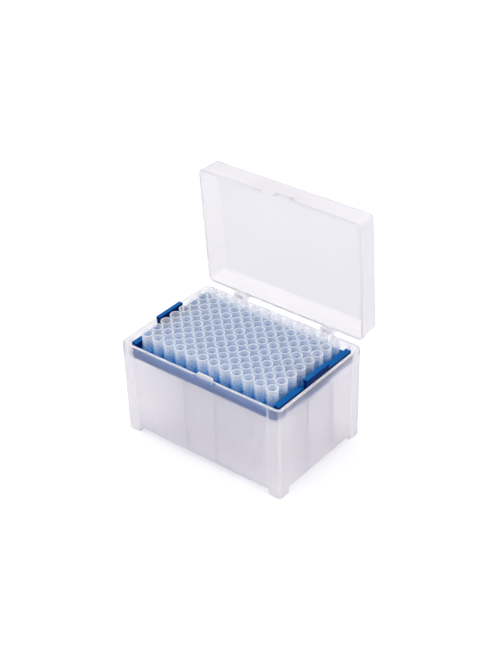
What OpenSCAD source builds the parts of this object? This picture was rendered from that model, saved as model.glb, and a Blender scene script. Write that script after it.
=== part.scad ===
// Hinged box of 96 pipette tips: a moulded base on four feet, a lid held by two
// snap hinges, a lift-out tip rack and the tips that stand in it.
// Millimetres, +Z up. The lid is drawn standing open on its stops.
// X runs along the hinge line and -Y is the front, where the catches are.
// The box follows its tips: the grid and two margins give its length and width,
// and the length of the tips gives its height.

/* [Grid of tips] */
// Distance between neighbouring tips
pitch = 9; // [8.8:0.1:11]
// Tips along the box
columns = 12; // [11:1:14]
// Tips across the box
rows = 8; // [6:2:10]
// From the middle of an end row of tips to the outside of the rim, along the box
end_margin = 13.8; // [11.4:0.1:20]
// From the middle of a front or back row of tips to the outside of the rim
side_margin = 11.5; // [9.5:0.1:20]

/* [Base] */
// Corner radius of the rim
base_corner = 4; // [3.6:0.1:4.2]
// Thickness of the side walls
base_wall = 1.2; // [1:0.1:1.4]
// How far the walls lean in from the rim to the table
base_draft = 0.6; // [0.2:0.1:1]
// How far the rim bead stands out from the corner posts
bead_out = 0.35; // [0.2:0.05:0.6]
// Height of the rim bead
bead_height = 2.2; // [1.6:0.1:3]
// How far the corner posts stand out from the walls
post_out = 0.4; // [0.2:0.05:0.6]
// Width of a corner post, and of the foot below it, along each side
post_width = 9; // [8:0.2:12]
// Corner radius of a post at the rim
post_corner = 2.9; // [2.8:0.1:3.4]
// Height of the feet below the floor
foot_height = 4.4; // [3:0.2:7]
// Thickness of a foot's walls and bottom
foot_wall = 1.8; // [1.2:0.1:2.4]
// Bevel along a foot's outer lower edge
foot_bevel = 0.5; // [0.2:0.1:1]
// Thickness of the floor
floor_thick = 1.6; // [1.2:0.1:2.4]
// Gap between a tip's point and the floor
tip_floor_gap = 1.5; // [0.5:0.1:6]

/* [Wall ribs that carry the rack] */
// Distance of the ribs from the middle of the long walls
long_rib_at = 12; // [8:1:24]
// Distance of the ribs from the middle of the short walls
short_rib_at = 12.7; // [8:0.1:20]
// Thickness of the ribs
rib_thick = 1.2; // [0.8:0.1:2]

/* [Lid] */
// How far the lid's flange stands in from the base's rim at each end
lid_end_in = 0.8; // [0:0.1:1]
// How far the lid's flange stands out from the base's rim at the front and back
lid_side_out = 0.4; // [0:0.1:0.6]
// Depth of the lid from its rim to the top of its panel
lid_depth = 16; // [13:0.5:24]
// Corner radius of the lid's flange
lid_corner = 4; // [3.6:0.1:6]
// Thickness of the lid's walls and panel
lid_wall = 1.2; // [1:0.1:1.6]
// How far the flange stands out from the lid's walls
flange_out = 0.6; // [0.3:0.05:1]
// Height of the flange
flange_height = 3; // [2:0.1:4]
// How far the lid's walls lean in from the flange to the panel
lid_draft = 0.25; // [0.1:0.05:0.5]
// Outside radius of the edge round the lid's panel
lid_edge = 2.2; // [1.8:0.1:3]
// Gap between the closed lid and the base's rim
lid_gap = 0.3; // [0.2:0.05:0.5]
// Angle from closed to the open stop
lid_open = 86; // [80:1:95]

/* [Hinges] */
// Distance of each hinge from the middle of the box
hinge_at = 35; // [20:1:45]
// Gap between a turning lug and the base's rim
lug_gap = 0.3; // [0.2:0.05:1]
// Height of the hinge axis above the base's rim
hinge_up = 0.5; // [0.3:0.05:1]
// Radius of the hinge pins
pin_r = 1.2; // [1:0.05:1.3]
// Radial clearance between pin and lug
pin_clear = 0.05; // [0.02:0.01:0.1]
// Thickness of an ear round its pin
ear_wall = 1; // [0.8:0.05:1.2]
// Thickness of an ear
ear_thick = 1.8; // [1.4:0.1:2.4]
// Thickness of a lug round its bore
lug_wall = 0.75; // [0.6:0.05:0.9]
// Width of a lug
lug_width = 6; // [4:0.5:8]
// Side gap between a lug and the ears
lug_side_gap = 0.25; // [0.15:0.05:0.4]
// How much narrower a lug's snap slot is than its pin
snap_bite = 0.5; // [0.2:0.05:0.8]

/* [Catches] */
// Width of the tab that stands on the base's front rim
tab_width = 11.5; // [8:0.5:14]
// Height of the tab above the rim
tab_height = 2.3; // [1.5:0.1:2.4]
// Left end of the tab, from the middle of the box
tab_left = 0; // [-2:0.5:2]
// Width of the bead's relief at each end of the tab
relief_width = 3.4; // [2:0.2:5]
// Width of the tongue on the lid's front rim
tongue_width = 9; // [6:0.5:12]
// How far the tongue hangs below the lid's rim
tongue_drop = 2.9; // [2:0.1:4]
// Gap between the tongue and the tab
catch_gap = 1.5; // [1:0.1:3]
// Thickness of the tongue
tongue_thick = 1.15; // [0.9:0.05:1.5]
// Gap between the closed tongue and the base's bead
tongue_clear = 0.15; // [0.12:0.01:0.3]

/* [Rack] */
// Gap between the rack and the base's long walls
rack_side_clear = 0.65; // [0.3:0.05:1]
// Gap between the rack and the base's short walls
rack_end_clear = 2.65; // [2:0.05:4]
// Corner radius of the rack
rack_corner = 3; // [2.5:0.1:4]
// Depth of the rack's plate below the base's rim
plate_down = 6.5; // [5:0.1:9]
// Thickness of the rack's plate
plate_thick = 1.6; // [1.2:0.1:2]
// Height of the skirt round the plate, from its lower edge to the plate's top
skirt_height = 3.2; // [2.6:0.1:6]
// Thickness of the skirt and of the ledges' walls that continue it
skirt_thick = 1.4; // [1:0.1:1.6]
// Height of the ledges along the rack's short sides
ledge_height = 5; // [3:0.1:6]
// Width of a ledge
ledge_width = 4; // [3.6:0.1:4.4]
// Distance of a ledge's end from the rack's front or back edge
ledge_end_in = 2.7; // [2.5:0.1:8]
// Gap between a ledge and the handle
ledge_gap = 1.9; // [1:0.1:4]
// Height of the handles above the plate
handle_height = 10.2; // [8:0.1:11]
// Length of a handle
handle_length = 22.6; // [16:0.2:24]
// Thickness of a handle
handle_thick = 2.3; // [1.8:0.1:2.6]
// How far a handle stands out from the rack's edge
handle_out = 1.35; // [0.5:0.05:1.5]
// Height of the grip along a handle's top
grip_height = 1.6; // [1:0.1:2.5]
// How far the grip stands out from a handle
grip_out = 0.3; // [0.1:0.05:0.3]

/* [Tips] */
// Inside diameter of a tip's mouth
mouth_d = 6.5; // [5.4:0.1:6.9]
// Thickness of the rim round the mouth
rim_wall = 0.6; // [0.5:0.05:0.7]
// Length of the collar that stands on the plate
collar_height = 12.5; // [9:0.5:14]
// Overall length of a tip
tip_length = 66; // [50:0.5:90]
// Ribs round a collar
collar_ribs = 12; // [8:1:16]
// How far the ribs stand out from the collar
rib_out = 0.4; // [0.2:0.05:0.5]
// Taper of the mouth, on its diameter, over the collar's length
mouth_taper = 0.5; // [0.2:0.1:0.6]
// Width of the step under the collar, which stands on the rack
collar_step = 0.8; // [0.6:0.05:1]
// Gap between a shaft and its hole in the plate
hole_gap = 0.15; // [0.1:0.05:0.3]
// Outside diameter of a tip's point
point_d = 1.2; // [1:0.1:1.6]
// Thickness of a tip's wall at the shoulder and below
tip_wall = 0.45; // [0.35:0.05:0.6]

/* [Hidden] */
$fn = 48;
over = 0.6;
shade = [0.87, 0.86, 0.91, 0.75];
clear_shade = [0.9, 0.91, 0.95, 0.6];
rack_shade = [0.0, 0.36, 0.66];

// Base
base_length = (columns - 1) * pitch + 2 * end_margin;
base_width = (rows - 1) * pitch + 2 * side_margin;
floor_top = foot_height + floor_thick;
base_height = floor_top + tip_floor_gap + tip_length - collar_height + plate_down;
base_cx = base_length / 2 - base_corner;
base_cy = base_width / 2 - base_corner;
post_face = base_corner - bead_out;
wall_face = post_face - post_out;
wall_inside = wall_face - base_wall;
rim_inside_y = base_cy + wall_inside;
post_cx = base_length / 2 - bead_out - post_corner;
post_cy = base_width / 2 - bead_out - post_corner;
foot_r = post_corner - base_draft;
foot_run = post_width - 2 * foot_r;

// Lid, as it lies closed
lid_length = base_length - 2 * lid_end_in;
lid_width = base_width + 2 * lid_side_out;
lid_z = base_height + lid_gap;
lid_cx = lid_length / 2 - lid_corner;
lid_cy = lid_width / 2 - lid_corner;
lid_side = lid_corner - flange_out;
lid_side_top = lid_side - lid_draft;
edge_x = lid_side_top - lid_edge;
front_y = -base_width / 2;

// Hinges
bore_r = pin_r + pin_clear;
ear_r = pin_r + ear_wall;
lug_r = bore_r + lug_wall;
hinge_back = lug_r + lug_gap;
snap_slot = 2 * pin_r - snap_bite;
axis_y = base_width / 2 + hinge_back;
axis_z = base_height + hinge_up;
ear_at = lug_width / 2 + lug_side_gap;
hinge_width = 2 * (ear_at + ear_thick);
gusset_drop = 8.5;
heel = hinge_back - 0.15;

// Rack
plate_z = base_height - plate_down;
skirt_z = plate_z - skirt_height;
lean_at_skirt = base_draft * (base_height - skirt_z) / base_height;
rack_x = base_cx + wall_inside - lean_at_skirt - rack_end_clear;
rack_y = base_cy + wall_inside - lean_at_skirt - rack_side_clear;
ledge_from = handle_length / 2 + ledge_gap;
ledge_length = rack_y - ledge_end_in - ledge_from;
ledge_x = rack_x - ledge_width / 2;
ledge_y = ledge_from + ledge_length / 2;
handle_x = rack_x + handle_out - handle_thick / 2;

// Tips
tip_z = floor_top + tip_floor_gap;
collar_r = mouth_d / 2 + rim_wall;
shaft_r = collar_r - collar_step;
core_r = collar_r - rib_out;
collar_from = tip_length - collar_height;

// The origin is on the table, in the middle of the box with its lid open
lid_edge_y = lid_cy + edge_x - axis_y;
lid_edge_z = lid_z + lid_depth - lid_edge - axis_z;
back_y = axis_y + lid_edge_y * cos(lid_open) + lid_edge_z * sin(lid_open) + lid_edge;
frame_y = (back_y + front_y) / 2;

HALVES = ["front", "back"];
function two(n) = n < 10 ? str("0", n) : str(n);
function tip_name(column, half) = str("tips_", two(column), "_", HALVES[half]);
TIP_NODES = [for (c = [1:columns]) for (h = [0:1]) tip_name(c, h)];

// ---------- shared shapes ----------

module rounded(half_x, half_y, r) {
    square([2 * half_x, 2 * (half_y - r)], center = true);
    square([2 * (half_x - r), 2 * half_y], center = true);
    for (x = [-1, 1], y = [-1, 1]) {
        translate([x * (half_x - r), y * (half_y - r)]) circle(r);
    }
}

// Sweeps a wall section round four corners whose centres are at (cx, cy).
// The section's x is the distance out from the corner centres, its y is height.
module swept_round(cx, cy) {
    for (turn = [0:3]) {
        ahead = turn % 2 == 0 ? cx : cy;
        beside = turn % 2 == 0 ? cy : cx;
        rotate(turn * 90) {
            translate([ahead, beside, 0]) rotate_extrude(angle = 90) children();
            translate([ahead, beside, 0]) rotate([90, 0, 0]) linear_extrude(2 * beside) children();
        }
    }
}

// The same section, kept to the four corners and a stretch of each side.
module swept_corners(cx, cy, stretch) {
    for (turn = [0:3]) {
        ahead = turn % 2 == 0 ? cx : cy;
        beside = turn % 2 == 0 ? cy : cx;
        rotate(turn * 90) translate([ahead, beside, 0]) {
            rotate_extrude(angle = 90) children();
            rotate([90, 0, 0]) linear_extrude(stretch) children();
            rotate([0, 0, 90]) mirror([0, 1, 0]) rotate([90, 0, 0]) linear_extrude(stretch) children();
        }
    }
}

module along_x(width) {
    rotate([90, 0, 90]) translate([0, 0, -width / 2]) linear_extrude(width) children();
}

// ---------- base ----------

module wall_section() {
    lean = base_draft * (base_height - foot_height) / base_height;
    polygon([
        [wall_face - lean, foot_height],
        [wall_face, base_height],
        [wall_inside, base_height],
        [wall_inside - lean, foot_height]
    ]);
}

module post_section() {
    inside = post_corner - post_out - base_wall;
    polygon([
        [foot_r - foot_bevel, 0],
        [foot_r, foot_bevel],
        [post_corner, base_height - over],
        [inside, base_height - over],
        [inside - base_draft, 0]
    ]);
}

module corner_places() {
    for (x = [0, 1], y = [0, 1]) {
        mirror([x, 0, 0]) mirror([0, y, 0]) translate([post_cx, post_cy, 0]) children();
    }
}

// Each foot is a closed cup that carries its post down, open only into the box.
// Its outline is round where it points in or out, and square along the walls.
module foot_outline() {
    out = foot_r - foot_bevel;
    circle(out);
    translate([-foot_run, -foot_run]) circle(foot_r);
    translate([-foot_run - foot_r, -foot_run]) square([post_width - foot_bevel, foot_run]);
    translate([-foot_run, -foot_run - foot_r]) square([foot_run, post_width - foot_bevel]);
    translate([-foot_run - foot_r, 0]) square([foot_r, out]);
    translate([0, -foot_run - foot_r]) square([out, foot_r]);
}

module foot_pocket() {
    room = post_width / 2 - foot_wall;
    translate([-foot_run / 2, -foot_run / 2, foot_wall]) linear_extrude(floor_top) rounded(room, room, 1);
}

module bead_section() {
    soft = 0.5;
    chamfer = 0.3;
    low = base_height - bead_height;
    polygon([
        [wall_inside, low],
        [base_corner - chamfer, low],
        [base_corner, low + chamfer],
        [base_corner, base_height - soft],
        [base_corner - soft, base_height - soft],
        [base_corner - soft, base_height],
        [wall_inside, base_height]
    ]);
    translate([base_corner - soft, base_height - soft]) circle(soft, $fn = 24);
}

module base_floor() {
    inner = wall_inside - base_draft + base_wall / 2;
    translate([0, 0, foot_height]) linear_extrude(floor_thick)
        rounded(base_cx + inner, base_cy + inner, inner);
}

// A rib stands on the floor and reaches in from its wall to the skirt's inner face.
module wall_rib(wall, edge) {
    from = edge - skirt_thick;
    low = foot_height + floor_thick / 2;
    translate([from, -rib_thick / 2, low])
        cube([wall - base_draft + base_wall / 2 - from, rib_thick, skirt_z - low]);
}

module wall_ribs() {
    for (x = [-long_rib_at, long_rib_at], side = [-90, 90]) {
        translate([x, 0, 0]) rotate(side) wall_rib(base_cy + wall_inside, rack_y);
    }
    for (y = [-short_rib_at, short_rib_at], side = [0, 180]) {
        translate([0, y, 0]) rotate(side) wall_rib(base_cx + wall_inside, rack_x);
    }
}

// The ear's outline, with a gusset that runs from the ear down to the back wall.
module ear_outline() {
    root = [rim_inside_y + base_wall / 2, base_height - gusset_drop];
    run = [axis_y - root[0], axis_z - root[1]];
    reach = norm(run);
    heading = atan2(run[1], run[0]) - asin(ear_r / reach);
    edge = sqrt(reach * reach - ear_r * ear_r);
    translate([axis_y, axis_z]) circle(ear_r);
    polygon([
        root,
        root + edge * [cos(heading), sin(heading)],
        [axis_y, axis_z],
        [axis_y, base_height - 0.3],
        [root[0], base_height - 0.3]
    ]);
}

module base_hinge() {
    for (side = [-1, 1]) {
        translate([side * (ear_at + ear_thick / 2), 0, 0]) along_x(ear_thick) ear_outline();
    }
    translate([0, axis_y, axis_z]) rotate([0, 90, 0])
        cylinder(h = 2 * ear_at + over, r = pin_r, center = true);
}

module catch_tab() {
    soft = 0.5;
    thick = base_width / 2 - rim_inside_y;
    translate([tab_left + tab_width / 2, front_y + thick, base_height - over]) rotate([90, 0, 0])
        linear_extrude(thick) intersection() {
            rounded(tab_width / 2, tab_height + over, soft);
            translate([-tab_width / 2, 0]) square([tab_width, tab_height + over]);
        }
}

module bead_relief(left) {
    translate([left, front_y - 1, base_height - bead_height - over])
        cube([relief_width, 1 + bead_out + post_out, bead_height + 2 * over]);
}

module base() color(shade) {
    difference() {
        union() {
            swept_round(base_cx, base_cy) wall_section();
            swept_corners(post_cx, post_cy, post_width - foot_r) post_section();
            swept_round(base_cx, base_cy) bead_section();
            base_floor();
            corner_places() linear_extrude(floor_top) foot_outline();
        }
        corner_places() foot_pocket();
        bead_relief(tab_left - relief_width);
        bead_relief(tab_left + tab_width);
    }
    wall_ribs();
    catch_tab();
    for (x = [-hinge_at, hinge_at]) translate([x, 0, 0]) base_hinge();
}

// ---------- lid ----------

module lid_section() {
    top = lid_z + lid_depth;
    polygon([
        [lid_side - lid_wall, lid_z],
        [lid_side, lid_z],
        [lid_side_top, top - lid_edge],
        [lid_side_top - lid_wall, top - lid_edge]
    ]);
    translate([edge_x, top - lid_edge]) intersection() {
        difference() {
            circle(lid_edge);
            circle(lid_edge - lid_wall);
        }
        square(lid_edge + 1);
    }
    translate([edge_x - 0.3, top - lid_wall]) square([0.3, lid_wall]);
}

module flange_section() {
    chamfer = 0.35;
    polygon([
        [lid_side - lid_wall, lid_z],
        [lid_corner, lid_z],
        [lid_corner, lid_z + flange_height - chamfer],
        [lid_corner - chamfer, lid_z + flange_height],
        [lid_side - lid_wall / 2, lid_z + flange_height]
    ]);
}

module lid_panel() {
    inner = edge_x - 0.1;
    translate([0, 0, lid_z + lid_depth - lid_wall]) linear_extrude(lid_wall)
        rounded(lid_cx + inner, lid_cy + inner, inner);
}

module lid_shell() {
    swept_round(lid_cx, lid_cy) lid_section();
    swept_round(lid_cx, lid_cy) flange_section();
    lid_panel();
}

// Where the base's tab passes through the closed lid's front rim.
module tab_notch() {
    side = 0.5;
    translate([tab_left - side, -lid_width / 2 - 1, lid_z - 1])
        cube([tab_width + 2 * side, 4, tab_height - lid_gap + 1 + side]);
}

// Room for one hinge's ears in the flange.
module ear_notch() {
    room = 0.3;
    translate([-hinge_width / 2 - room, lid_cy + lid_side, lid_z - 1])
        cube([hinge_width + 2 * room, 2, flange_height + 2]);
}

module lug_outline() {
    translate([axis_y, axis_z]) {
        circle(lug_r);
        translate([0, -heel]) square([heel - 0.35, heel]);
    }
    polygon([
        [lid_cy + lid_side - lid_wall / 2, lid_z],
        [axis_y - lug_r / 2, lid_z],
        [axis_y, axis_z],
        [axis_y + lug_r * cos(60), axis_z + lug_r * sin(60)],
        [lid_cy + lid_side, lid_z + flange_height + 1.6],
        [lid_cy + lid_side - lid_wall / 2, lid_z + flange_height + 1.6]
    ]);
}

module lid_hinge() {
    difference() {
        along_x(lug_width) lug_outline();
        translate([0, axis_y, axis_z]) rotate([0, 90, 0])
            cylinder(h = lug_width + 1, r = bore_r, center = true);
        translate([0, axis_y, axis_z]) rotate([30, 0, 0])
            translate([-lug_width, 0, -snap_slot / 2]) cube([2 * lug_width, 2 * lug_r, snap_slot]);
    }
    // Pad that spreads the lug into the wall
    translate([-hinge_width / 2, lid_cy + lid_side - lid_wall / 2, lid_z + flange_height])
        cube([hinge_width, lid_wall / 2 + flange_out / 2, 2.4]);
}

module tongue() {
    inner = front_y - tongue_clear;
    tip = 0.5;
    translate([tab_left - catch_gap - tongue_width / 2, 0, 0]) along_x(tongue_width) polygon([
        [inner, lid_z - tongue_drop],
        [inner, lid_z - 0.2],
        [-lid_width / 2 + flange_out, lid_z + 0.2],
        [-lid_width / 2 + flange_out, lid_z + flange_height],
        [inner - tongue_thick + tip, lid_z + flange_height],
        [inner - tongue_thick, lid_z + flange_height - tip],
        [inner - tongue_thick, lid_z - tongue_drop + tip],
        [inner - tongue_thick + tip, lid_z - tongue_drop]
    ]);
}

module closed_lid() {
    difference() {
        lid_shell();
        tab_notch();
        for (x = [-hinge_at, hinge_at]) translate([x, 0, 0]) ear_notch();
    }
    tongue();
    for (x = [-hinge_at, hinge_at]) translate([x, 0, 0]) lid_hinge();
}

module lid() color(shade) {
    translate([0, axis_y, axis_z]) rotate([-lid_open, 0, 0]) translate([0, -axis_y, -axis_z]) closed_lid();
}

// ---------- rack ----------

module tip_places() {
    for (c = [1:columns], r = [1:rows]) {
        translate([(c - (columns + 1) / 2) * pitch, (r - (rows + 1) / 2) * pitch]) children();
    }
}

module rack_plate() {
    difference() {
        translate([0, 0, plate_z - plate_thick]) linear_extrude(plate_thick) difference() {
            rounded(rack_x, rack_y, rack_corner);
            tip_places() circle(shaft_r + hole_gap);
        }
        ledge_places() ledge_hollow();
    }
}

module rack_skirt() {
    translate([0, 0, skirt_z]) linear_extrude(skirt_height) difference() {
        rounded(rack_x, rack_y, rack_corner);
        rounded(rack_x - skirt_thick, rack_y - skirt_thick, rack_corner - skirt_thick);
    }
}

module ledge_places() {
    for (side = [0, 1], y = [-ledge_y, ledge_y]) {
        mirror([side, 0, 0]) translate([ledge_x, y, plate_z]) children();
    }
}

module ledge() {
    translate([0, 0, -over]) linear_extrude(ledge_height + over)
        rounded(ledge_width / 2, ledge_length / 2, 1);
}

// A ledge is hollow from below, and its top is notched at both ends.
module ledge_hollow() {
    slot = ledge_width - 2 * skirt_thick;
    run = ledge_length - 2 * skirt_thick;
    translate([-slot / 2, -run / 2, -plate_thick - 1])
        cube([slot, run, plate_thick + 1 + ledge_height - skirt_thick]);
    for (end = [-1, 1]) {
        translate([0, end * ledge_length / 2, ledge_height - 1.2]) cylinder(h = 2, r = 1);
    }
}

// A handle stands against the rack's edge, from the skirt's lower edge up.
module handle() {
    low = skirt_z;
    top = plate_z + handle_height;
    out = handle_thick / 2;
    translate([0, handle_length / 2, 0]) rotate([90, 0, 0]) linear_extrude(handle_length) polygon([
        [-out, low],
        [out, low],
        [out, top - grip_height - grip_out],
        [out + grip_out, top - grip_height],
        [out + grip_out, top],
        [-out - grip_out, top],
        [-out - grip_out, top - grip_height],
        [-out, top - grip_height - grip_out]
    ]);
}

module insert() color(rack_shade) {
    rack_plate();
    rack_skirt();
    ledge_places() difference() {
        ledge();
        ledge_hollow();
    }
    for (side = [0, 1]) mirror([side, 0, 0]) translate([handle_x, 0, 0]) handle();
}

// ---------- tips ----------

module tip_profile() {
    bore_at_plate = (mouth_d - mouth_taper) / 2;
    shoulder = 26.4;
    shoulder_r = shaft_r - 0.7;
    top_rim = 1;
    polygon([
        [point_d / 2, 0],
        [shoulder_r, shoulder],
        [shaft_r, collar_from],
        [core_r, collar_from],
        [core_r, tip_length - top_rim - rib_out],
        [collar_r, tip_length - top_rim],
        [collar_r, tip_length - 0.2],
        [collar_r - 0.2, tip_length],
        [mouth_d / 2 + 0.2, tip_length],
        [mouth_d / 2, tip_length - 0.6],
        [bore_at_plate, collar_from + 2],
        [shaft_r - tip_wall, collar_from],
        [shoulder_r - tip_wall, shoulder],
        [point_d / 2 - 0.25, 0]
    ]);
}

module collar_rib_set() {
    width = 0.5;
    translate([0, 0, collar_from]) linear_extrude(collar_height - 1) difference() {
        for (n = [0:collar_ribs - 1]) {
            rotate(n * 360 / collar_ribs) translate([0, -width / 2]) square([collar_r, width]);
        }
        circle(core_r - 0.15);
    }
}

module tip() {
    rotate_extrude() tip_profile();
    collar_rib_set();
}

module tip_group(column, half) color(clear_shade) {
    for (n = [1:rows / 2]) {
        row = half * rows / 2 + n;
        translate([(column - (columns + 1) / 2) * pitch, (row - (rows + 1) / 2) * pitch, tip_z]) tip();
    }
}

module placed() {
    translate([0, -frame_y, 0]) children();
}

placed() base();
placed() lid();
placed() insert();
for (c = [1:columns], h = [0:1]) {
    placed() tip_group(c, h);
}
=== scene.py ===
"""Looks for a hinged box of pipette tips: frosted box and lid, blue rack, clear tips."""

import math

import bpy
from mathutils import Matrix, Vector


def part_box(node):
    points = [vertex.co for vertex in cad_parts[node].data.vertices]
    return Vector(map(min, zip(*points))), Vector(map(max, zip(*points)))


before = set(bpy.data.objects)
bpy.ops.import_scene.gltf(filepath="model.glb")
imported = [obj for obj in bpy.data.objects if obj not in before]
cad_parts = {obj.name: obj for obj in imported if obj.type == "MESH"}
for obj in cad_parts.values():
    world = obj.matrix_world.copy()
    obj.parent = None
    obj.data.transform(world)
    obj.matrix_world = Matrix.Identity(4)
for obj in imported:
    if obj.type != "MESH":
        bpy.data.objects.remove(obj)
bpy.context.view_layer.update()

MM = 0.001
TIP_NODES = [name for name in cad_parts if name.startswith("tips_")]

# Noise stays between these two values nearly everywhere.
NOISE_LOW = 0.3
NOISE_HIGH = 0.7

# Moulded skin: cells to the metre of grain, clouds and streaks, and the streaks' upright stretch
WALL_GRAIN = 2600
RACK_GRAIN = 3000
TIP_GRAIN = 3500
BOX_CLOUDS = 45
LID_CLOUDS = 40
RACK_CLOUDS = 70
TIP_CLOUDS = 120
STREAKS = 420
STREAK_STRETCH = 0.05

# Share of the grain in the relief, and of the streaks in the wall's colour and the lid's darker tone
GRAIN_HEIGHT = 0.7
STREAK_IN_WALL = 0.4
STREAK_IN_LID = 0.2

# Base: CORNER_CUT is how far a rounded corner falls short of a square one, along plus across, and sets
# the band of painted corner highlight
RIM_TOP = 67.5 * MM
BASE_LENGTH = 126.6 * MM
BASE_WIDTH = 86 * MM
BASE_DRAFT = 0.6 * MM
RIM_FROM = 0.6 * MM
RIM_FULL = 0.2 * MM
POST_WIDTH = 9.35 * MM
POST_FADE = 1 * MM
LONG_RIB_AT = 12 * MM
SHORT_RIB_AT = 12.7 * MM
# Sink marks over the ribs are real; their shading is painted as darker lines this wide
SINK_WIDTH = 1 * MM
SINK_FADE = 0.5 * MM
# EDGE_WIDTH is the width of the painted highlight along the posts' edges
EDGE_WIDTH = 0.3 * MM
EDGE_FADE = 0.15 * MM
CORNER_CUT = 2.4 * MM
CORNER_FADE = 0.3 * MM
POLISH_FADE = 3 * MM

# Rack: faces count as flat from the first upward lean to the second; steeper faces above the skirt get a
# darker blue as painted shade
FLAT_FROM = 0.2
FLAT_FULL = 0.7
SKIRT_LOW = 57.8 * MM
SKIRT_FADE = 1 * MM
PLATE_TOP = 61 * MM
PLATE_FADE = 1 * MM

# Lid
LID_OPEN = math.radians(86)
FLANGE_HEIGHT = 3 * MM
FLANGE_FADE = 0.1 * MM
PANEL_THICK = 1.1 * MM
PANEL_FADE = 0.5 * MM
LID_EDGE = 2.1 * MM
# STEP_WIDTH and TURN_WIDTH are the widths of the painted shade lines where the lid's wall steps and
# turns
STEP_WIDTH = 0.4 * MM
TURN_WIDTH = 0.3 * MM
LINE_FADE = 0.2 * MM

# Tips: heights are measured down from their tops
COLLAR_LOW = 12 * MM
FACE_LOW = 12.5 * MM
FACE_HIGH = 3 * MM
SEAT_TOP = 12.4 * MM
SEAT_LOW = 16 * MM
SEAT_FADE = 0.4 * MM
SHAFT_FROM = 13 * MM
SHAFT_FULL = 14 * MM
TIP_FADE = 3 * MM
MOUTH_FROM = 0.8 * MM
MOUTH_FULL = 0.4 * MM

# Share of milk in the frosted walls
MILK_WALL = 0.1
MILK_HIGH = 0.06
MILK_RIM = 0.35
MILK_POST = 0.03
# The next two are milk that paints highlights along the posts' edges and round the corners
MILK_EDGE_HIGHLIGHT = 0.8
MILK_CORNER_HIGHLIGHT = 0.22
MILK_LID = (0.24, 0.36)
MILK_FLANGE = 0.15

# Roughness
ROUGH_LOW = 0.6
ROUGH_HIGH = 0.34
ROUGH_DRIFT = 0.03
LID_GLOSS = (0.46, 0.56)
RACK_GLOSS = (0.3, 0.42)
TIP_GLOSS = (0.16, 0.24)
MILK_ROUGH = 0.5

# Shares of the lamps' light that pass
LIGHT_THROUGH_WALL = 0.75
LIGHT_THROUGH_TIP = 0.9

# Colours
BOX_SHADES = ((0.94, 0.925, 0.955), (0.978, 0.963, 0.982))
LID_SHADES = ((0.943, 0.928, 0.943), (0.972, 0.959, 0.97))
# The darker tone next paints shade along the base's sink marks and the lid's step and turn lines, and
# deepens the lid's panel and streaks
DARKER_TONE_AND_SHADE = (0.94, 0.94, 0.96)
PANEL_SHADE = 0.8
TOP_BLUE = (0.002, 0.1, 0.34)
# The darker blue next is painted shade for the rack's upright faces above the skirt
SHADED_SIDE_BLUE = (0.001, 0.018, 0.12)
SKIRT_BLUE = (0.001, 0.1, 0.37)
# The sky blue next is painted light: the rack's blue bounced into the clear tips near the rack
TIP_BOUNCED_BLUE = (0.34, 0.67, 0.98)
TIP_HEAD = (0.96, 0.975, 0.99)
TIP_SEAT = (0.02, 0.26, 0.65)

# How dense the tips' clear walls look
SEAT_DENSE = 0.9
TIP_FACE_LOW = 0.12
TIP_FACE_HIGH = 0.23
TIP_EDGE = 0.4
TIP_SHAFT = 0.6
TIP_RIM = 0.2
EDGE_BLEND = 0.35

# Refraction, and the rack's weak shine
FROST_IOR = 1.25
MILK_IOR = 1.45
PLASTIC_IOR = 1.49
RACK_SHINE = 0.04

# Studio: strength of the room's light, watts of the lamps, lift of the floor to white
ROOM = 0.85
ROOM_TINT = (0.97, 0.97, 1.0)
OVERHEAD = 4
FRONT_LEFT = 2
RIGHT = 2
LAMP_AIM = (0, 0, 0.06)
LIFT = 0.2
WHITE = (1, 1, 1)
WARM = (1.0, 0.93, 0.9)
FLOOR_GREY = (0.9, 0.9, 0.9)
FLOOR_ROUGH = 0.9
FLOOR_SHINE = 0.1
FLOOR_SIZE = 6
FLOOR_DROP = 0.2 * MM

# Camera
AZIMUTH = math.radians(39.12)
ELEVATION = math.radians(33.44)
ROLL = math.radians(-1.52)
CAMERA_AIM = Vector((3.11, -3.40, 76.95)) * MM
CAMERA_DISTANCE = 891.09 * MM
LENS = 77.76
SENSOR = 36

# Worked out: the tips' tops, the way the open lid's panel faces, and the lid's rim and depth that way
TIP_TOP = max(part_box(name)[1].z for name in TIP_NODES)
LID_OUT = Vector((0, math.sin(LID_OPEN), math.cos(LID_OPEN)))
LID_PLACES = [LID_OUT.dot(corner.co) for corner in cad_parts["lid"].data.vertices]
LID_RIM = min(LID_PLACES)
LID_DEEP = max(LID_PLACES) - LID_RIM


# ---------- node helpers ----------


def new_group(name, inputs, outputs):
    """An empty shader group. inputs are (name, default) pairs, outputs are names."""
    group = bpy.data.node_groups.new(name, "ShaderNodeTree")
    group.interface.new_socket("Vector", in_out="INPUT", socket_type="NodeSocketVector")
    for socket, default in inputs:
        made = group.interface.new_socket(socket, in_out="INPUT", socket_type="NodeSocketFloat")
        made.default_value = default
    for socket in outputs:
        group.interface.new_socket(socket, in_out="OUTPUT", socket_type="NodeSocketFloat")
    start = group.nodes.new("NodeGroupInput")
    end = group.nodes.new("NodeGroupOutput")
    return group, start, end


def add_node(tree, kind, **settings):
    node = tree.nodes.new(kind)
    for key, value in settings.items():
        setattr(node, key, value)
    return node


def put(tree, value, socket):
    """Sets a socket to a number or a colour, or links another socket to it."""
    if isinstance(value, (int, float)):
        socket.default_value = value
    elif isinstance(value, (tuple, list)):
        socket.default_value = (*value, 1)
    else:
        tree.links.new(value, socket)


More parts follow.
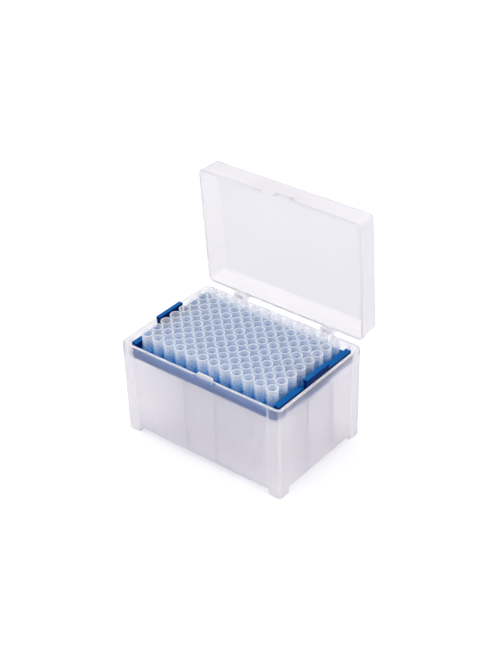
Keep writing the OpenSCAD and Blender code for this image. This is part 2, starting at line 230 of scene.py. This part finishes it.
def noise(tree, vector, scale, detail, roughness=0.5):
    node = add_node(tree, "ShaderNodeTexNoise")
    node.inputs["Detail"].default_value = detail
    node.inputs["Roughness"].default_value = roughness
    tree.links.new(vector, node.inputs["Vector"])
    put(tree, scale, node.inputs["Scale"])
    return node.outputs["Fac"]


def remap(tree, value, low, high, to_low, to_high):
    """Carries low to to_low and high to to_high, and holds those values beyond them."""
    node = add_node(tree, "ShaderNodeMapRange")
    ends = {"From Min": low, "From Max": high, "To Min": to_low, "To Max": to_high}
    for socket, number in ends.items():
        node.inputs[socket].default_value = number
    tree.links.new(value, node.inputs["Value"])
    return node.outputs["Result"]


def maths(tree, operation, *values):
    """A Math node on one to three values, each a socket or a number."""
    node = add_node(tree, "ShaderNodeMath", operation=operation)
    for value, socket in zip(values, node.inputs):
        put(tree, value, socket)
    return node.outputs[0]


def largest(tree, value, *others):
    """The largest of two or more values."""
    for other in others:
        value = maths(tree, "MAXIMUM", value, other)
    return value


def mixed_colour(tree, factor, first, second, kind="MIX"):
    """Two colours, each a socket or three numbers, mixed by factor."""
    node = add_node(tree, "ShaderNodeMix", data_type="RGBA", blend_type=kind)
    put(tree, factor, node.inputs["Factor"])
    put(tree, first, node.inputs["A"])
    put(tree, second, node.inputs["B"])
    return node.outputs["Result"]


def mixed_shader(tree, factor, first, second):
    node = add_node(tree, "ShaderNodeMixShader")
    for value, socket in zip((factor, first, second), node.inputs):
        tree.links.new(value, socket)
    return node.outputs[0]


def in_band(tree, value, low, high, soft):
    """1 where value lies from low to high, fading out over soft on either side."""
    rise = remap(tree, value, low - soft, low, 0.0, 1.0)
    fall = remap(tree, value, high, high + soft, 1.0, 0.0)
    return maths(tree, "MULTIPLY", rise, fall)


# ---------- shared effects ----------


def moulded_skin_group():
    """Grain of a moulded surface, flow clouds, upright streaks, and the height of grain and clouds."""
    group, start, end = new_group(
        "moulded skin",
        (("Grain scale", WALL_GRAIN), ("Cloud scale", BOX_CLOUDS)),
        ("Grain", "Cloud", "Streak", "Height"),
    )
    vector = start.outputs["Vector"]
    grain = noise(group, vector, start.outputs["Grain scale"], detail=3, roughness=0.6)
    cloud = noise(group, vector, start.outputs["Cloud scale"], detail=4, roughness=0.55)
    stretch = add_node(group, "ShaderNodeVectorMath", operation="MULTIPLY")
    group.links.new(vector, stretch.inputs[0])
    stretch.inputs[1].default_value = (1, 1, STREAK_STRETCH)
    streak = noise(group, stretch.outputs[0], STREAKS, detail=2)
    height = maths(group, "MULTIPLY_ADD", grain, GRAIN_HEIGHT, cloud)
    for value, socket in zip((grain, cloud, streak, height), end.inputs):
        group.links.new(value, socket)
    return group


# ---------- materials ----------


class Finish:
    """A material whose Principled shader is fed by the shared skin at its own scales."""

    def __init__(self, name, skin, grain_scale, cloud_scale):
        self.material = bpy.data.materials.new(name)
        self.material.use_nodes = True
        self.tree = self.material.node_tree
        self.shader = self.tree.nodes["Principled BSDF"]
        place = add_node(self.tree, "ShaderNodeTexCoord").outputs["Object"]
        split = add_node(self.tree, "ShaderNodeSeparateXYZ")
        self.tree.links.new(place, split.inputs[0])
        self.along = split.outputs["X"]
        self.across = split.outputs["Y"]
        self.up = split.outputs["Z"]
        effect = add_node(self.tree, "ShaderNodeGroup", node_tree=skin)
        effect.inputs["Grain scale"].default_value = grain_scale
        effect.inputs["Cloud scale"].default_value = cloud_scale
        self.tree.links.new(place, effect.inputs["Vector"])
        self.grain = effect.outputs["Grain"]
        self.cloud = effect.outputs["Cloud"]
        self.streak = effect.outputs["Streak"]
        self.height = effect.outputs["Height"]

    def feed(self, socket, value):
        self.tree.links.new(value, self.shader.inputs[socket])

    def set(self, **values):
        for socket, value in values.items():
            self.shader.inputs[socket.replace("_", " ")].default_value = value

    def spread(self, effect, low, high):
        """One of the skin's effects, spread from low to high."""
        return remap(self.tree, effect, NOISE_LOW, NOISE_HIGH, low, high)

    def clouded(self, colour, share):
        """A colour that drifts with the flow clouds to a share of itself."""
        drift = self.spread(self.cloud, 0.0, 1.0)
        return mixed_colour(self.tree, drift, colour, [share * part for part in colour])

    def relief(self, strength, distance):
        bump = add_node(self.tree, "ShaderNodeBump")
        bump.inputs["Strength"].default_value = strength
        bump.inputs["Distance"].default_value = distance
        self.tree.links.new(self.height, bump.inputs["Height"])
        self.feed("Normal", bump.outputs["Normal"])

    def let_light_in(self, surface, share):
        """Lamps reach through the wall, as they do through real frosted plastic."""
        path = add_node(self.tree, "ShaderNodeLightPath")
        gap = add_node(self.tree, "ShaderNodeBsdfTransparent")
        passing = maths(self.tree, "MULTIPLY", path.outputs["Is Shadow Ray"], share)
        lit = mixed_shader(self.tree, passing, surface, gap.outputs[0])
        self.tree.links.new(lit, self.tree.nodes["Material Output"].inputs["Surface"])


def frosted_wall(name, skin, shades, cloud_scale, gloss, milkiness, darkening):
    """Milky moulded wall: near things show through softly, and thick places look whiter.

    The last three arguments take the finish: they give the roughness, the share of milk, which on the
    base also paints highlights, and the darker tone, which paints shade along sink marks and the lid's
    lines and deepens the lid's panel."""
    wall = Finish(name, skin, WALL_GRAIN, cloud_scale)
    tree = wall.tree
    drift = wall.spread(wall.cloud, 0.0, 1.0)
    streaks = wall.spread(wall.streak, -STREAK_IN_WALL, STREAK_IN_WALL)
    plain = mixed_colour(tree, maths(tree, "ADD", drift, streaks), *shades)
    # The darker tone multiplies in: painted shade along sink marks and the lid's lines, and the lid
    # panel's deeper tone
    colour = mixed_colour(tree, darkening(wall), plain, DARKER_TONE_AND_SHADE, "MULTIPLY")
    wall.feed("Base Color", colour)
    wall.feed("Roughness", gloss(wall))
    wall.relief(strength=0.08, distance=0.05 * MM)
    wall.set(Transmission_Weight=1.0, IOR=FROST_IOR)
    milk = add_node(tree, "ShaderNodeBsdfPrincipled")
    milk.inputs["Roughness"].default_value = MILK_ROUGH
    milk.inputs["IOR"].default_value = MILK_IOR
    tree.links.new(colour, milk.inputs["Base Color"])
    milky = mixed_shader(tree, milkiness(wall), wall.shader.outputs["BSDF"], milk.outputs["BSDF"])
    wall.let_light_in(milky, LIGHT_THROUGH_WALL)
    return wall.material


def from_middle(wall):
    """Distances from the middle of the base, along X and along Y."""
    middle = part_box("base")[0].y + BASE_WIDTH / 2
    offset = maths(wall.tree, "SUBTRACT", wall.across, middle)
    return maths(wall.tree, "ABSOLUTE", wall.along), maths(wall.tree, "ABSOLUTE", offset)


def gloss_of_base(wall):
    """The mould is polished round the rim and the rack, and rougher below."""
    grainy = wall.spread(wall.grain, -ROUGH_DRIFT, ROUGH_DRIFT)
    polish = remap(wall.tree, wall.up, SKIRT_LOW - POLISH_FADE, SKIRT_LOW, ROUGH_LOW, ROUGH_HIGH)
    return maths(wall.tree, "ADD", grainy, polish)


def gloss_of_lid(wall):
    return wall.spread(wall.grain, *LID_GLOSS)


def on_posts(tree, along, across, inner, outer):
    """1 on the corner posts' outer faces, from inner to outer as measured in from the rim's ends."""
    faces = []
    for here, there, half, other in (
        (along, across, BASE_LENGTH / 2, BASE_WIDTH / 2),
        (across, along, BASE_WIDTH / 2, BASE_LENGTH / 2),
    ):
        strip = in_band(tree, here, half - inner, half - outer, EDGE_FADE)
        near_corner = remap(tree, there, other - POST_WIDTH - POST_FADE, other - POST_WIDTH, 0.0, 1.0)
        faces.append(maths(tree, "MULTIPLY", strip, near_corner))
    return largest(tree, *faces)


def milky_base(wall):
    """More milk on top of the rim, round the corners and in the posts, most along the posts' edges;
    along the edges and round the corners the milk is a painted highlight.
    """
    tree = wall.tree
    along, across = from_middle(wall)
    rim = remap(tree, wall.up, RIM_TOP - RIM_FROM, RIM_TOP - RIM_FULL, 0.0, MILK_RIM)
    posts = on_posts(tree, along, across, POST_WIDTH, 0)
    edge_highlights = on_posts(tree, along, across, POST_WIDTH + EDGE_WIDTH / 2, POST_WIDTH - EDGE_WIDTH / 2)
    lean = remap(tree, wall.up, 0, RIM_TOP, 2 * BASE_DRAFT, 0)
    outwards = maths(tree, "ADD", maths(tree, "ADD", along, across), lean)
    reach = BASE_LENGTH / 2 + BASE_WIDTH / 2 - CORNER_CUT
    corner_highlights = remap(tree, outwards, reach - CORNER_FADE, reach, 0.0, MILK_CORNER_HIGHLIGHT)
    posts = maths(tree, "MULTIPLY", posts, MILK_POST)
    edge_highlights = maths(tree, "MULTIPLY", edge_highlights, MILK_EDGE_HIGHLIGHT)
    even = remap(tree, wall.up, SKIRT_LOW - POLISH_FADE, SKIRT_LOW, MILK_WALL, MILK_HIGH)
    return maths(tree, "ADD", largest(tree, rim, posts, edge_highlights, corner_highlights), even)


def sink_shade_in_base(wall):
    """Sink marks where a rib backs the wall: two on each long wall and two on each short one. The marks
    are real, and their shading is painted as a darker line.
    """
    tree = wall.tree
    shaded_sinks = [
        in_band(tree, place, at - SINK_WIDTH / 2, at + SINK_WIDTH / 2, SINK_FADE)
        for place, at in zip(from_middle(wall), (LONG_RIB_AT, SHORT_RIB_AT))
    ]
    below = remap(tree, wall.up, SKIRT_LOW - SKIRT_FADE, SKIRT_LOW, 1.0, 0.0)
    return maths(tree, "MULTIPLY", largest(tree, *shaded_sinks), below)


def depth_in_lid(wall):
    """The place along the open lid's depth: 0 at the flange's rim, LID_DEEP outside the panel."""
    tree = wall.tree
    back = maths(tree, "MULTIPLY", wall.across, LID_OUT.y)
    rise = maths(tree, "MULTIPLY", wall.up, LID_OUT.z)
    return maths(tree, "SUBTRACT", maths(tree, "ADD", back, rise), LID_RIM)


def milky_lid(wall):
    """Milk is nearly even in the lid's walls, and denser in the thick flange."""
    even = wall.spread(wall.cloud, *MILK_LID)
    depth = depth_in_lid(wall)
    low = FLANGE_HEIGHT - FLANGE_FADE
    flange = remap(wall.tree, depth, low, FLANGE_HEIGHT + FLANGE_FADE, MILK_FLANGE, 0.0)
    return maths(wall.tree, "ADD", even, flange)


def panel_and_shade_lines_in_lid(wall):
    """The panel is a shade deeper than the walls, and painted shade darkens the lines where the wall
    turns or steps.
    """
    tree = wall.tree
    depth = depth_in_lid(wall)
    inside = LID_DEEP - PANEL_THICK
    turn_at = LID_DEEP - LID_EDGE
    panel = remap(tree, depth, inside - PANEL_FADE, inside, 0.0, PANEL_SHADE)
    step = in_band(tree, depth, FLANGE_HEIGHT, FLANGE_HEIGHT + STEP_WIDTH, LINE_FADE)
    turn = in_band(tree, depth, turn_at - TURN_WIDTH, turn_at, LINE_FADE)
    plain = maths(tree, "ADD", panel, wall.spread(wall.streak, 0.0, STREAK_IN_LID))
    return maths(tree, "ADD", plain, maths(tree, "ADD", step, turn))


def rack_blue(skin):
    """Satin blue: lighter on the flat tops, and deeper on the upright faces above the skirt, where the
    deeper blue is painted shade.
    """
    rack = Finish("rack blue", skin, RACK_GRAIN, RACK_CLOUDS)
    tree = rack.tree
    above = remap(tree, rack.up, PLATE_TOP - PLATE_FADE, PLATE_TOP, 0.0, 1.0)
    # Upright faces above the skirt get a darker blue as painted shade; the skirt keeps its own blue
    skirt_and_shaded_sides = mixed_colour(tree, above, SKIRT_BLUE, SHADED_SIDE_BLUE)
    facing = add_node(tree, "ShaderNodeNewGeometry")
    split = add_node(tree, "ShaderNodeSeparateXYZ")
    tree.links.new(facing.outputs["True Normal"], split.inputs[0])
    flat = remap(tree, split.outputs["Z"], FLAT_FROM, FLAT_FULL, 0.0, 1.0)
    rack.feed("Base Color", mixed_colour(tree, flat, skirt_and_shaded_sides, rack.clouded(TOP_BLUE, share=1.18)))
    rack.feed("Roughness", rack.spread(rack.grain, *RACK_GLOSS))
    rack.relief(strength=0.2, distance=0.05 * MM)
    rack.set(IOR=PLASTIC_IOR, Specular_IOR_Level=RACK_SHINE)
    return rack.material


def colour_of_tip(tip, seat):
    """Clear above, sky blue near the rack, the rack's own blue in the seat, and clear below it. The sky
    blue is painted light: the rack's blue bounced into the clear wall.
    """
    tree = tip.tree
    climb = remap(tree, tip.up, TIP_TOP - COLLAR_LOW, TIP_TOP - TIP_FADE, 0.0, 1.0)
    hang = remap(tree, tip.up, TIP_TOP - SHAFT_FULL, TIP_TOP - SHAFT_FROM, 1.0, 0.0)
    bounced_blue = tip.clouded(TIP_BOUNCED_BLUE, share=0.94)
    head = tip.clouded(TIP_HEAD, share=0.96)
    return mixed_colour(tree, seat, mixed_colour(tree, largest(tree, climb, hang), bounced_blue, head), TIP_SEAT)


def density_of_tip(tip, seat):
    """Thin walls look denser edge on, up the collar, round the mouth and in the rack's holes."""
    tree = tip.tree
    edge = add_node(tree, "ShaderNodeLayerWeight")
    edge.inputs["Blend"].default_value = EDGE_BLEND
    face = remap(tree, tip.up, TIP_TOP - FACE_LOW, TIP_TOP - FACE_HIGH, TIP_FACE_LOW, TIP_FACE_HIGH)
    wall = maths(tree, "MULTIPLY_ADD", edge.outputs["Facing"], TIP_EDGE, face)
    thin = remap(tree, tip.up, TIP_TOP - SHAFT_FULL, TIP_TOP - SHAFT_FROM, TIP_SHAFT, 1.0)
    mouth = remap(tree, tip.up, TIP_TOP - MOUTH_FROM, TIP_TOP - MOUTH_FULL, 0.0, TIP_RIM)
    thick = maths(tree, "MULTIPLY_ADD", seat, SEAT_DENSE, mouth)
    return maths(tree, "MULTIPLY_ADD", wall, thin, thick)


def tip_clear(skin):
    """Thin clear wall that lets most of the lamps' light through."""
    tip = Finish("tip clear", skin, TIP_GRAIN, TIP_CLOUDS)
    tree = tip.tree
    seat = in_band(tree, tip.up, TIP_TOP - SEAT_LOW, TIP_TOP - SEAT_TOP, SEAT_FADE)
    tip.feed("Base Color", colour_of_tip(tip, seat))
    tip.feed("Roughness", tip.spread(tip.grain, *TIP_GLOSS))
    tip.relief(strength=0.1, distance=0.03 * MM)
    path = add_node(tree, "ShaderNodeLightPath")
    lit = remap(tree, path.outputs["Is Shadow Ray"], 0, 1, 1.0, 1 - LIGHT_THROUGH_TIP)
    tip.feed("Alpha", maths(tree, "MULTIPLY", density_of_tip(tip, seat), lit))
    tip.set(IOR=PLASTIC_IOR)
    return tip.material


def dress(node_name, material):
    """Gives a frame node its finished material."""
    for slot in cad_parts[node_name].material_slots:
        slot.material = material


# ---------- stage ----------


def seen_straight(tree):
    """1 for rays from the camera, straight or through clear parts, and 0 for light that spreads."""
    path = add_node(tree, "ShaderNodeLightPath")
    through = maths(tree, "ADD", path.outputs["Is Camera Ray"], path.outputs["Is Transmission Ray"])
    either = maths(tree, "MINIMUM", maths(tree, "ADD", through, path.outputs["Is Glossy Ray"]), 1.0)
    unspread = maths(tree, "LESS_THAN", path.outputs["Diffuse Depth"], 0.5)
    return maths(tree, "MULTIPLY", either, unspread)


def build_floor():
    bpy.ops.object.select_all(action="DESELECT")
    bpy.ops.mesh.primitive_plane_add(size=FLOOR_SIZE, location=(0, 0, -FLOOR_DROP))
    floor = bpy.context.object
    floor.name = "stage_floor"
    material = bpy.data.materials.new("pale floor")
    material.use_nodes = True
    tree = material.node_tree
    matte = tree.nodes["Principled BSDF"]
    matte.inputs["Base Color"].default_value = (*FLOOR_GREY, 1)
    matte.inputs["Roughness"].default_value = FLOOR_ROUGH
    matte.inputs["Specular IOR Level"].default_value = FLOOR_SHINE
    matte.inputs["Emission Color"].default_value = (*WHITE, 1)
    lift = maths(tree, "MULTIPLY", seen_straight(tree), LIFT)
    tree.links.new(lift, matte.inputs["Emission Strength"])
    floor.data.materials.append(material)


def background(tree, colour, strength):
    node = add_node(tree, "ShaderNodeBackground")
    node.inputs["Color"].default_value = (*colour, 1)
    node.inputs["Strength"].default_value = strength
    return node.outputs[0]


def build_world():
    world = bpy.data.worlds.new("studio")
    bpy.context.scene.world = world
    world.use_nodes = True
    tree = world.node_tree
    tree.nodes.clear()
    room = background(tree, ROOM_TINT, ROOM)
    backdrop = background(tree, WHITE, 1.0)
    out = add_node(tree, "ShaderNodeOutputWorld")
    tree.links.new(mixed_shader(tree, seen_straight(tree), room, backdrop), out.inputs["Surface"])


def area_light(name, place, size, watts, colour=WHITE):
    data = bpy.data.lights.new(name, "AREA")
    data.color = colour
    data.size = size
    data.energy = watts
    lamp = bpy.data.objects.new(name, data)
    bpy.context.collection.objects.link(lamp)
    lamp.location = place
    lamp.rotation_euler = (Vector(LAMP_AIM) - Vector(place)).to_track_quat("-Z", "Y").to_euler()


def build_camera():
    """Looks down from the front right, with the slight roll of the chosen view."""
    back = Vector((
        math.sin(AZIMUTH) * math.cos(ELEVATION),
        -math.cos(AZIMUTH) * math.cos(ELEVATION),
        math.sin(ELEVATION),
    ))
    level = Vector((math.cos(AZIMUTH), math.sin(AZIMUTH), 0))
    right = level * math.cos(ROLL) + back.cross(level) * math.sin(ROLL)
    data = bpy.data.cameras.new("camera")
    data.lens = LENS
    data.sensor_width = SENSOR
    camera = bpy.data.objects.new("camera", data)
    bpy.context.collection.objects.link(camera)
    turn = Matrix((right, back.cross(right), back)).transposed().to_4x4()
    camera.matrix_world = Matrix.Translation(CAMERA_AIM + back * CAMERA_DISTANCE) @ turn
    bpy.context.scene.camera = camera


# ---------- the scene ----------

skin = moulded_skin_group()
box_finish = (gloss_of_base, milky_base, sink_shade_in_base)
lid_finish = (gloss_of_lid, milky_lid, panel_and_shade_lines_in_lid)
dress("base", frosted_wall("frosted box", skin, BOX_SHADES, BOX_CLOUDS, *box_finish))
dress("lid", frosted_wall("frosted lid", skin, LID_SHADES, LID_CLOUDS, *lid_finish))
dress("insert", rack_blue(skin))
clear = tip_clear(skin)
for name in TIP_NODES:
    dress(name, clear)

build_floor()
build_world()
area_light("overhead", place=(-0.2, 0.1, 1.35), size=1.1, watts=OVERHEAD)
area_light("front left", place=(-0.8, -0.9, 0.7), size=0.8, watts=FRONT_LEFT)
area_light("right", place=(1.0, -0.1, 0.5), size=0.8, watts=RIGHT, colour=WARM)
build_camera()
bpy.context.scene.view_settings.view_transform = "Standard"
paths = bpy.context.scene.cycles
paths.max_bounces = 24
paths.diffuse_bounces = 10
paths.transmission_bounces = 24
paths.transparent_max_bounces = 32
